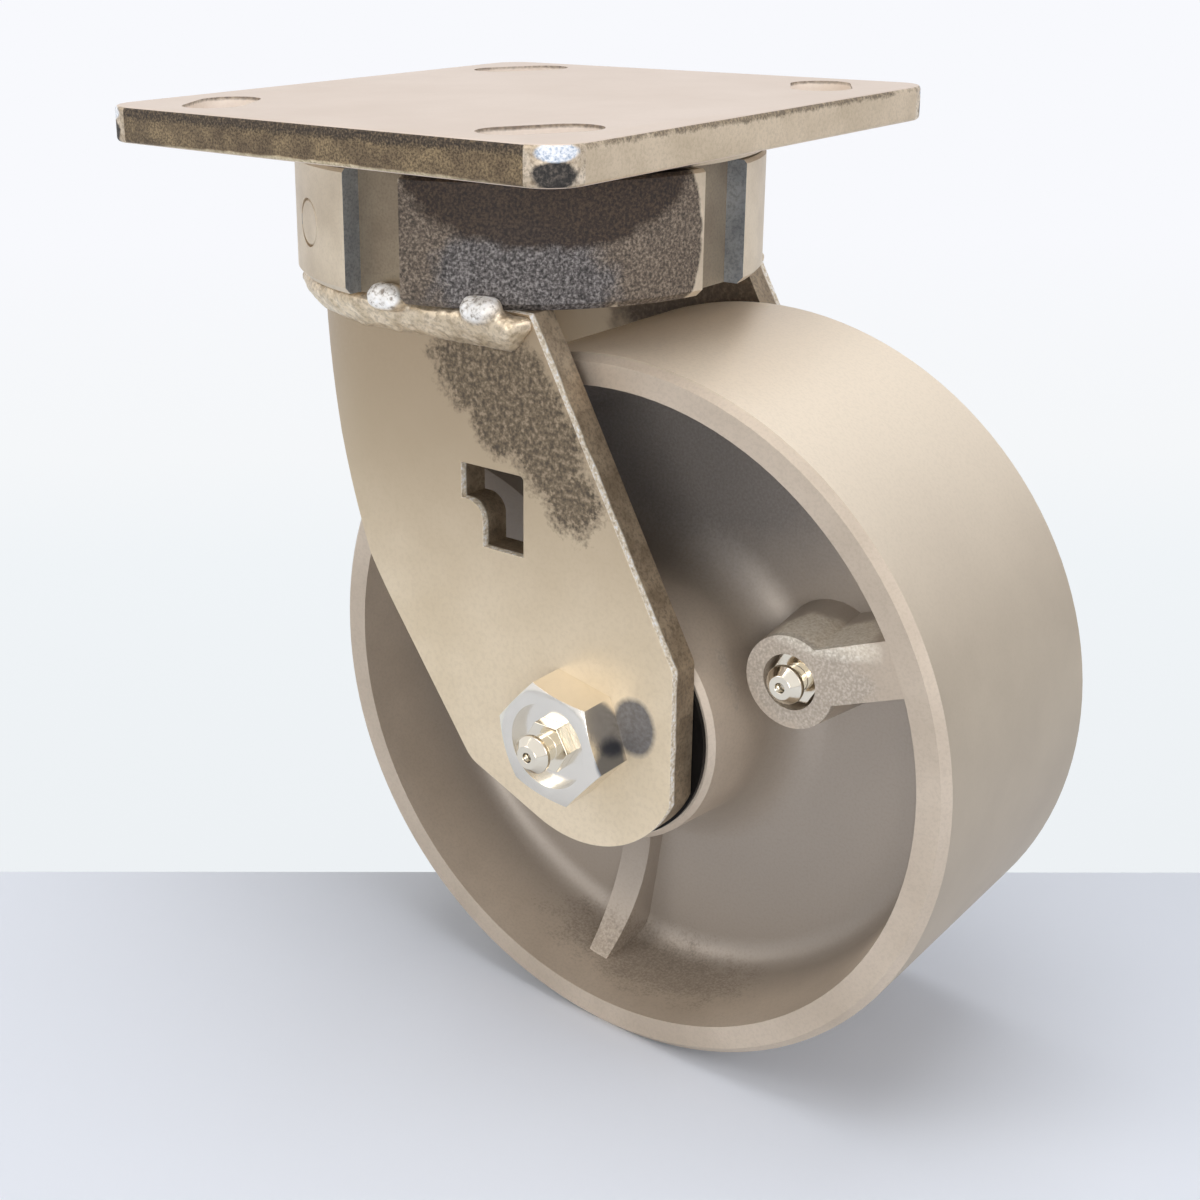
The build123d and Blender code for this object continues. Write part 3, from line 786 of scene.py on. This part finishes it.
# Cast iron, plated over its sand skin: fine grained, with painted shade deep in the dish and a
# painted blue grey shade under the rim at the dish's top, a painted highlight on the boss's top,
# grey streaks on the boss's face, and painted shade at the foot of the rim.
WHEEL_STEEL = PlatedSteel(
    "cast_wheel_zinc", "#cbbcaa", "#bcad9b", pit="#85796b", drift=24, grit=0.5, pitting=0.13,
    # Darker towards the web, deep in the dish: painted shade.
    metallic=0.4, roughness=0.42, relief=0.02, painted_light_tint="#a69c91", painted_light_span=(5.0, 22.0),
    crusts_and_painted_light=(
        # Dark blue grey under the rim at the dish's top: painted shade.
        CrustAndPaintedLight(
            ("#36363a", "#47484c", "#5a5b60"),
            (Patch((42.0, -8.0, -54.0), 8.0, 40.0, (1.5, 0.5, 1.0)),),
            cover=0.55, loose=0.0, ragged=0.12,
        ),
        # Pale on the boss's top: a painted highlight.
        CrustAndPaintedLight(
            ("#d3c7b3", "#e9dfcd", "#f6f0e4"),
            (Patch((75.0, -17.0, -79.5), 4.5, 9.0, (1.6, 1.0, 0.5)),),
            cover=0.8, loose=0.2,
        ),
        CrustAndPaintedLight(
            ("#7b7772", "#9c958c", "#dcd7cf"),
            (Patch((72.0, -20.4, -88.0), 4.0, 13.0, (1.6, 0.2, 1.0)),),
            cover=0.35, loose=0.3,
        ),
        # Darker at the foot of the rim, near the floor: painted shade.
        CrustAndPaintedLight(
            ("#4a4036", "#7a6c5d", "#a89a87"),
            (Patch((42.0, -13.0, -158.0), 2.0, 24.0, (1.8, 0.5, 0.45)),),
            cover=0.4, loose=1.0,
        ),
    ),
)
# The tread is turned: the smoothest face of the wheel, with a painted highlight that makes it
# palest at its top at rest.
TREAD_STEEL = PlatedSteel(
    "turned_tread_zinc", "#b7a995", "#ad9f8c", pit="#94866f", drift=30, grit=0.6, pitting=0.08,
    # Paler towards the top: painted light.
    metallic=0.35, roughness=0.38, relief=0.006, painted_light_tint="#fbecd6", painted_light_axis="Z",
    painted_light_span=(32.0, 84.0),
)
# Bright zinc on a forged and turned head: clear reflections in soft waves, and a painted dark blue
# grey reflection on one flat.
HEAD_STEEL = BrightSteel(
    "bright_zinc_bolt", "#ede7dc", 0.2, relief=0.07, pitch=3.0, film="#6d7078",
    # The dark cloud on the head's right flat: a painted reflection.
    patches=(Patch((50.5, -39.2, -98.5), 5.2, 6.4, (0.55, 1.25, 1.3)),),
)
# Bright zinc on small turned fittings.
FITTING_STEEL = BrightSteel("bright_zinc_fitting", "#efe6d4", 0.12, relief=0.02, pitch=1.5)
# Hardened and ground rolling steel: a grey mirror.
BEARING_STEEL = BrightSteel("ground_bearing_steel", "#c9c7c4", 0.12, relief=0.002)
# Dark washers with a soft sheen: their near black colour is partly the steel's own and partly
# painted shade for the gap between the hub and the legs.
WASHER_STEEL = BrightSteel("dark_washer_gap_shade", "#2a2929", 0.4, film="#161616", film_share=0.6)

_MADE: dict[str, bpy.types.Material] = {}


def finish_of(finish: Finish) -> bpy.types.Material:
    """Gives the material of a finish, made once.

    Args:
        finish: The finish.

    Returns:
        Its node material.
    """
    if finish.name not in _MADE:
        _MADE[finish.name] = finish.build()
    return _MADE[finish.name]


def stand(origin: Vector, out: Vector, across: Vector) -> Matrix:
    """Makes the matrix that stands an object at a place and turns it.

    Args:
        origin: The place, in metres.
        out: The direction that the object's Z takes.
        across: The direction that the object's X takes.

    Returns:
        The matrix from the object's own frame to the part's.
    """
    z_axis = out.normalized()
    x_axis = across.normalized()
    y_axis = z_axis.cross(x_axis)
    columns = (x_axis, y_axis, z_axis, origin)
    rows = [[column[row] for column in columns] for row in range(3)]
    return Matrix((*rows, (0.0, 0.0, 0.0, 1.0)))


def node_copy(node: str) -> bmesh.types.BMesh:
    """Copies a CAD node's mesh, joined up and with its flat faces made whole.

    Args:
        node: The CAD node's name.

    Returns:
        The copy.
    """
    bm = bmesh.new()
    bm.from_mesh(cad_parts[node].data)
    bmesh.ops.remove_doubles(bm, verts=bm.verts, dist=WELD_DISTANCE)
    bmesh.ops.dissolve_limit(
        bm, angle_limit=FLAT_ANGLE, verts=bm.verts, edges=bm.edges, delimit={"NORMAL"}
    )
    return bm


def settle(
    bm: bmesh.types.BMesh,
    name: str,
    body: Body,
    finishes: list[Finish],
    replaced: tuple[str, ...],
    edge_round: float = 0.0,
) -> bpy.types.Object:
    """Turns a finished shape into a piece that rides on its body.

    Edges that turn less than SHARP_ANGLE are shaded smooth, and the others stay crisp.

    Args:
        bm: The shape, in the part's frame. It is freed.
        name: The piece's name.
        body: The body that it moves with.
        finishes: Its finishes, by the material number of its faces.
        replaced: The CAD nodes that it stands for.
        edge_round: Width of the worn rounding on crisp edges, in millimetres, or 0 for none.

    Returns:
        The new object.
    """
    for face in bm.faces:
        face.smooth = True
    for edge in bm.edges:
        edge.smooth = len(edge.link_faces) == 2 and edge.calc_face_angle(0.0) < SHARP_ANGLE
    mesh = bpy.data.meshes.new(name)
    bm.to_mesh(mesh)
    bm.free()
    for finish in finishes:
        mesh.materials.append(finish_of(finish))
    piece = bpy.data.objects.new(name, mesh)
    bpy.context.scene.collection.objects.link(piece)
    if edge_round:
        worn = piece.modifiers.new("worn_edges", "BEVEL")
        worn.width = edge_round * MM
        worn.segments = ROUND_SEGMENTS
        worn.limit_method = "ANGLE"
        worn.angle_limit = SHARP_ANGLE
        worn.harden_normals = True
        worn.use_clamp_overlap = True
    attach(piece, body.value)
    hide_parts(*replaced)
    LOG.info("%s: %d faces, on %s", name, len(mesh.polygons), body.value)
    return piece


def dress(
    node: str, name: str, body: Body, finish: Finish, edge_round: float = 0.0
) -> bpy.types.Object:
    """Makes a piece of a CAD node as it stands, in one finish.

    Args:
        node: The CAD node's name.
        name: The piece's name.
        body: The body that it moves with.
        finish: Its finish.
        edge_round: Width of the worn rounding on crisp edges, in millimetres, or 0 for none.

    Returns:
        The new object.
    """
    return settle(node_copy(node), name, body, [finish], (node,), edge_round=edge_round)


@dataclass(frozen=True)
class Panel:
    """A square lamp that faces the part.

    Attributes:
        name: The lamp's name.
        place: Its middle.
        size: The length of its side.
        power: Its power, in watts.
        tint: Its colour.
    """

    name: str
    place: tuple[float, float, float]
    size: float
    power: float
    tint: str


@dataclass
class Studio:
    """The pale floor, the soft lamps and the camera at the photograph's angle.

    Attributes:
        floor_z: Height of the floor.
        floor_reach: Half the floor's width.
        edge_near: A point of the line on the floor where the grey ground meets the pale backdrop.
        edge_far: Another point of that line.
        camera_at: The camera's place.
        azimuth: Direction of view round Z, in degrees, 0 along +Y.
        elevation: Height of the camera above the horizon, in degrees.
        roll: Roll of the camera, in degrees.
        focal_share: Focal length as a share of the frame's width.
        shift: Sideways and upwards shift, as shares of the frame's width.
        film_width: Width of the frame on the film.
        clip: Nearest and furthest distance that the camera sees, in metres.
        edge_blend: Half the width over which the ground turns into the backdrop.
        sky_depth: How far beyond that line the backdrop has its last colour.
        aim: The point that the lamps face.
        ambient: Strength of the light that comes evenly from all round.
        ambient_tint: Colour of that light.
        world_tint: Colour of the world behind the floor.
        ground_tint: Colour of the ground.
        backdrop: The backdrop's colours, by their place along its depth.
        panels: The lamps.
    """

    floor_z: float = -165.1
    floor_reach: float = 4000.0
    edge_near: tuple[float, float] = (-93.9, -65.8)
    edge_far: tuple[float, float] = (104.4, 97.6)
    camera_at: tuple[float, float, float] = (198.09, -248.20, 30.26)
    azimuth: float = 40.94
    elevation: float = 17.34
    roll: float = -0.72
    focal_share: float = 1.43475
    shift: tuple[float, float] = (0.11507, -0.11902)
    film_width: float = 36.0
    clip: tuple[float, float] = (0.01, 50.0)
    edge_blend: float = 0.1
    sky_depth: float = 750.0
    aim: tuple[float, float, float] = (20.0, 0.0, -70.0)
    ambient: float = 0.33
    ambient_tint: str = "#f4f4f6"
    world_tint: str = "#f8f9fd"
    ground_tint: str = "#e8edf6"
    backdrop: tuple[tuple[float, str], ...] = (
        (0.0, "#edf1f4"), (0.25, "#f0f4f7"), (0.4, "#f5f7f9"), (1.0, "#f8f9fd"),
    )
    panels: tuple[Panel, ...] = (
        Panel("top_panel", (40.0, -60.0, 1400.0), 1000.0, 10.0, "#ffffff"),
        Panel("left_panel", (-800.0, -950.0, 750.0), 700.0, 4.5, "#fffcf8"),
        Panel("right_panel", (1250.0, -150.0, 450.0), 700.0, 5.0, "#fafaff"),
        Panel("front_panel", (420.0, -950.0, -40.0), 500.0, 4.5, "#ffffff"),
    )

    def camera(self) -> bpy.types.Object:
        """Adds the camera.

        Returns:
            The camera object.
        """
        data = bpy.data.cameras.new("camera")
        data.sensor_width = self.film_width
        data.lens = self.focal_share * self.film_width
        data.shift_x, data.shift_y = self.shift
        data.clip_start, data.clip_end = self.clip
        camera = bpy.data.objects.new("camera", data)
        bpy.context.scene.collection.objects.link(camera)
        turn, rise = math.radians(self.azimuth), math.radians(self.elevation)
        tip = math.radians(self.roll)
        level = Vector((math.cos(turn), math.sin(turn), 0.0))
        back = Vector(
            (math.sin(turn) * math.cos(rise), -math.cos(turn) * math.cos(rise), math.sin(rise))
        )
        upright = back.cross(level)
        right = level * math.cos(tip) + upright * math.sin(tip)
        camera.matrix_world = stand(Vector(self.camera_at) * MM, back, right)
        bpy.context.scene.camera = camera
        return camera

    def floor(self) -> bpy.types.Object:
        """Adds the floor, grey before a straight line and pale beyond it.

        Returns:
            The floor object.
        """
        bm = bmesh.new()
        bmesh.ops.create_grid(bm, x_segments=1, y_segments=1, size=self.floor_reach * MM)
        bmesh.ops.translate(bm, verts=bm.verts, vec=(0.0, 0.0, self.floor_z * MM))
        mesh = bpy.data.meshes.new("floor")
        bm.to_mesh(mesh)
        bm.free()
        mesh.materials.append(self.floor_material())
        floor = bpy.data.objects.new("floor", mesh)
        bpy.context.scene.collection.objects.link(floor)
        return floor

    def background_rays(self, tree: bpy.types.NodeTree) -> bpy.types.NodeSocket:
        """Adds the test for rays that show the background: seen, reflected or seen through.

        Args:
            tree: The node tree of the floor or of the world.

        Returns:
            1 for such a ray, and 0 for one that only lights something.
        """
        path = add_node(tree, "ShaderNodeLightPath")
        mirrored = add_node(
            tree,
            "ShaderNodeMath",
            {0: path.outputs["Is Camera Ray"], 1: path.outputs["Is Glossy Ray"]},
            operation="MAXIMUM",
        )
        either = add_node(
            tree,
            "ShaderNodeMath",
            {0: mirrored.outputs[0], 1: path.outputs["Is Transmission Ray"]},
            operation="MAXIMUM",
        )
        return either.outputs[0]

    def floor_material(self) -> bpy.types.Material:
        """Makes the floor's material: matt painted board that keeps the shadow.

        Returns:
            The node material.
        """
        material, tree = blank_material("studio_board")
        place = add_node(tree, "ShaderNodeTexCoord").outputs["Object"]
        near = Vector((*self.edge_near, 0.0)) * MM
        far = Vector((*self.edge_far, 0.0)) * MM
        along = (far - near).normalized()
        beyond = Vector((-along.y, along.x, 0.0))
        depth = add_node(
            tree, "ShaderNodeVectorMath", {0: place, 1: beyond}, operation="DOT_PRODUCT"
        )
        past = add_node(
            tree,
            "ShaderNodeMapRange",
            {
                "Value": depth.outputs["Value"],
                "From Min": near.dot(beyond) - self.edge_blend * MM,
                "From Max": near.dot(beyond) + self.edge_blend * MM,
            },
        )
        ground = add_node(
            tree,
            "ShaderNodeBsdfPrincipled",
            {"Base Color": linear(self.ground_tint), "Roughness": 0.9, "Specular IOR Level": 0.1},
        )
        sky_ramp = add_node(
            tree,
            "ShaderNodeMapRange",
            {
                "Value": depth.outputs["Value"],
                "From Min": near.dot(beyond),
                "From Max": near.dot(beyond) + self.sky_depth * MM,
            },
        )
        sky = add_node(
            tree,
            "ShaderNodeValToRGB",
            {"Fac": sky_ramp.outputs[0]},
            stops=list(self.backdrop),
        )
        glow = add_node(tree, "ShaderNodeEmission", {"Color": sky.outputs[0], "Strength": 1.0})
        seen = add_node(
            tree,
            "ShaderNodeMath",
            {0: self.background_rays(tree), 1: past.outputs[0]},
            operation="MULTIPLY",
        )
        shader = add_node(
            tree,
            "ShaderNodeMixShader",
            {0: seen.outputs[0], 1: ground.outputs[0], 2: glow.outputs[0]},
        )
        add_node(tree, "ShaderNodeOutputMaterial", {"Surface": shader.outputs[0]})
        return material

    def lamps(self) -> None:
        """Adds the soft lamps and the pale world."""
        aim = Vector(self.aim) * MM
        for panel in self.panels:
            data = bpy.data.lights.new(panel.name, "AREA")
            data.size = panel.size * MM
            data.energy = panel.power
            data.color = linear(panel.tint)[:3]
            lamp = bpy.data.objects.new(panel.name, data)
            bpy.context.scene.collection.objects.link(lamp)
            lamp.location = Vector(panel.place) * MM
            lamp.rotation_mode = "QUATERNION"
            lamp.rotation_quaternion = (aim - lamp.location).to_track_quat("-Z", "Y")
        world = bpy.data.worlds.new("studio")
        bpy.context.scene.world = world
        world.use_nodes = True
        tree = world.node_tree
        tree.nodes.clear()
        seen = self.background_rays(tree)
        colour = add_node(
            tree,
            "ShaderNodeMix",
            {"Factor": seen, "A": linear(self.ambient_tint), "B": linear(self.world_tint)},
            data_type="RGBA",
        )
        strength = add_node(
            tree, "ShaderNodeMapRange", {"Value": seen, "To Min": self.ambient, "To Max": 1.0}
        )
        sky = add_node(
            tree,
            "ShaderNodeBackground",
            {"Color": colour.outputs[2], "Strength": strength.outputs[0]},
        )
        add_node(tree, "ShaderNodeOutputWorld", {"Surface": sky.outputs[0]})

    def build(self) -> None:
        """Sets up the whole studio."""
        self.camera()
        self.floor()
        self.lamps()
        bpy.context.scene.view_settings.view_transform = "Standard"
        LOG.info("studio: camera, floor and lamps")


@dataclass
class TopPlate:
    """The slotted plate that bolts to the trolley.

    Attributes:
        half_x: Half its size along X.
        half_y: Half its size along Y.
        corner_radius: Radius of its corners.
        border: How near a face's middle is to an edge of the plate to belong to it.
        flat_share: A face whose normal has more than this share along Z is rolled.
    """

    half_x: float = EDGE_X
    half_y: float = EDGE_Y
    corner_radius: float = 6.35
    border: float = 3.0
    flat_share: float = 0.8

    def number(self, face: bmesh.types.BMFace) -> int:
        """Picks a face's finish by the way it faces and where it lies.

        Args:
            face: A face of the plate.

        Returns:
            0 for rolled, 1 for sheared, 2 for sawn, 3 for punched, 4 for the rounded corners.
        """
        middle = face.calc_center_median()
        if abs(face.normal.z) > self.flat_share:
            return 0
        near_x = abs(middle.x) > (self.half_x - self.corner_radius) * MM
        near_y = abs(middle.y) > (self.half_y - self.corner_radius) * MM
        if near_x and near_y:
            return 4
        if abs(middle.y) > (self.half_y - self.border) * MM:
            return 1
        if abs(middle.x) > (self.half_x - self.border) * MM:
            return 2
        return 3

    def build(self) -> None:
        """Makes the plate with its rolled faces and its two kinds of cut edges."""
        bm = node_copy("top_plate")
        for face in bm.faces:
            face.material_index = self.number(face)
        finishes = [
            PLATE_TOP_STEEL, SHEARED_EDGE_STEEL, SAWN_EDGE_STEEL, SLOT_STEEL, CORNER_STEEL,
        ]
        settle(bm, "plate", Body.PLATE, finishes, ("top_plate",))


@dataclass
class SwivelRace:
    """The inner race with its weld, the balls and the notched ring round them.

    Attributes:
        edge_round: Worn rounding of the machined edges.
        plug_round: Rounding of the fill plug's edge.
        notch_floor: Distance from the axis to just inside the floor of a notch.
        notch_mouth: Distance from the axis to just inside the ring's outside.
        wall_share: A face whose normal has less than this share outwards is a notch's wall.
        upright_share: A face whose normal has less than this share along Z stands upright.
    """

    edge_round: float = 0.3
    plug_round: float = 0.1
    notch_floor: float = 37.5
    notch_mouth: float = 41.5
    wall_share: float = 0.6
    upright_share: float = 0.2

    def ring(self) -> None:
        """Makes the notched ring, with bare walls that carry a painted reflection and brown floors
        in its notches.
        """
        bm = node_copy("swivel_ring")
        for face in bm.faces:
            middle = face.calc_center_median()
            outward = Vector((middle.x, middle.y, 0.0)).normalized()
            away = math.hypot(middle.x, middle.y)
            if abs(face.normal.z) > self.upright_share or away < self.notch_floor * MM:
                continue
            if abs(face.normal.dot(outward)) < self.wall_share:
                face.material_index = 1
            elif away < self.notch_mouth * MM:
                face.material_index = 2
        settle(
            bm, "notched_ring", Body.FORK, [RING_STEEL, NOTCH_STEEL, NOTCH_FLOOR_STEEL],
            ("swivel_ring",), edge_round=self.edge_round,
        )

    def build(self) -> None:
        """Makes the race."""
        self.ring()
        dress("ball_fill_plug", "fill_plug", Body.FORK, RING_STEEL, self.plug_round)
        dress("inner_race", "race_boss", Body.PLATE, RING_STEEL, self.edge_round)
        dress("race_weld", "flange_weld", Body.PLATE, WELD_STEEL)
        dress("race_balls", "swivel_balls", Body.BALLS, BEARING_STEEL)


@dataclass
class Fork:
    """The two bent legs and the beads that hold them under the ring.

    Attributes:
        edge_round: Worn rounding of the flame cut edges.
        cut_share: A face whose normal has less than this share along Y was flame cut.
        lump: Size of the lumps of the weld beads.
        lump_height: How far the lumps stand out and sink in, together.
        lump_middle: The pattern's level, from 0 to 1, that neither stands out nor sinks in.
        lump_octaves: How many finer sizes of lumps lie on the first.
        skin: Size of the faces that carry the lumps.
    """

    edge_round: float = 0.45
    cut_share: float = 0.5
    lump: float = 3.4
    lump_height: float = 0.9
    lump_middle: float = 0.6
    lump_octaves: int = 2
    skin: float = 0.4

    def leg(self, side: str) -> None:
        """Makes a leg, with the plating of its faces and of its cut edges.

        Args:
            side: near or far.
        """
        bm = node_copy(f"{side}_leg")
        for face in bm.faces:
            face.material_index = 1 if abs(face.normal.y) < self.cut_share else 0
        settle(
            bm, f"{side}_leg_plate", Body.FORK, [LEG_STEEL, CUT_EDGE_STEEL], (f"{side}_leg",),
            edge_round=self.edge_round,
        )

    def bead(self, side: str) -> None:
        """Makes a weld bead, with the lumps that a stick leaves.

        Args:
            side: near or far.
        """
        piece = dress(f"{side}_leg_weld", f"{side}_weld_bead", Body.FORK, WELD_STEEL)
        skin = piece.modifiers.new("skin", "REMESH")
        skin.mode = "VOXEL"
        skin.voxel_size = self.skin * MM
        skin.use_smooth_shade = True
        pattern = bpy.data.textures.new(f"{side}_bead_lumps", "CLOUDS")
        pattern.noise_scale = self.lump * MM
        pattern.noise_depth = self.lump_octaves
        lumps = piece.modifiers.new("lumps", "DISPLACE")
        lumps.texture = pattern
        lumps.texture_coords = "LOCAL"
        lumps.strength = self.lump_height * MM
        lumps.mid_level = self.lump_middle

    def build(self) -> None:
        """Makes the legs and their welds."""
        for side in ("near", "far"):
            self.leg(side)
            self.bead(side)


@dataclass
class Axle:
    """The greased bolt, its nut and what turns round it.

    Attributes:
        edge_round: Rounding of the corners of the bolt's head and of the nut.
    """

    edge_round: float = 0.35

    def build(self) -> None:
        """Makes the axle."""
        dress("axle_bolt", "bolt", Body.FORK, HEAD_STEEL, self.edge_round)
        dress("axle_nut", "nut", Body.FORK, HEAD_STEEL, self.edge_round)
        dress("axle_bushing", "bushing", Body.FORK, BEARING_STEEL)
        for side in ("near", "far"):
            dress(f"{side}_thrust_washer", f"{side}_washer", Body.FORK, WASHER_STEEL)
        dress("roller_cage", "cage", Body.ROLLERS, BEARING_STEEL)
        dress("bearing_rollers", "rollers", Body.ROLLERS, BEARING_STEEL)


@dataclass
class Wheel:
    """The cast wheel, with its ribs and the boss that takes the grease fitting.

    Attributes:
        x: Place of the axle along X.
        z: Height of the axle.
        turned_radius: Faces further out than this were turned.
        edge_round: Rounding of its cast corners.
    """

    x: float = 38.1
    z: float = -101.6
    turned_radius: float = 62.6
    edge_round: float = 0.6

    def build(self) -> None:
        """Makes the wheel with its cast faces and its turned tread."""
        bm = node_copy("wheel")
        for face in bm.faces:
            nearest = min(
                math.hypot(vert.co.x - self.x * MM, vert.co.z - self.z * MM) for vert in face.verts
            )
            face.material_index = 1 if nearest > self.turned_radius * MM else 0
        settle(
            bm, "cast_wheel", Body.WHEEL, [WHEEL_STEEL, TREAD_STEEL], ("wheel",),
            edge_round=self.edge_round,
        )


@dataclass
class GreaseFittings:
    """The three grease fittings and their check balls.

    Attributes:
        edge_round: Rounding of the turned corners.
        bodies: The body that each fitting rides on.
    """

    edge_round: float = 0.12
    bodies: dict[str, Body] = field(
        default_factory=lambda: {"race": Body.FORK, "axle": Body.FORK, "hub": Body.WHEEL}
    )

    def build(self) -> None:
        """Makes the fittings."""
        for place, body in self.bodies.items():
            dress(
                f"{place}_grease_fitting", f"{place}_nipple", body, FITTING_STEEL, self.edge_round
            )
            dress(f"{place}_fitting_ball", f"{place}_check_ball", body, BEARING_STEEL)


def main() -> None:
    logging.basicConfig(level=logging.INFO, format="%(name)s: %(message)s")
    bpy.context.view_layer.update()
    for part in (Studio(), TopPlate(), SwivelRace(), Fork(), Axle(), Wheel(), GreaseFittings()):
        part.build()


if __name__ == "__main__":
    main()
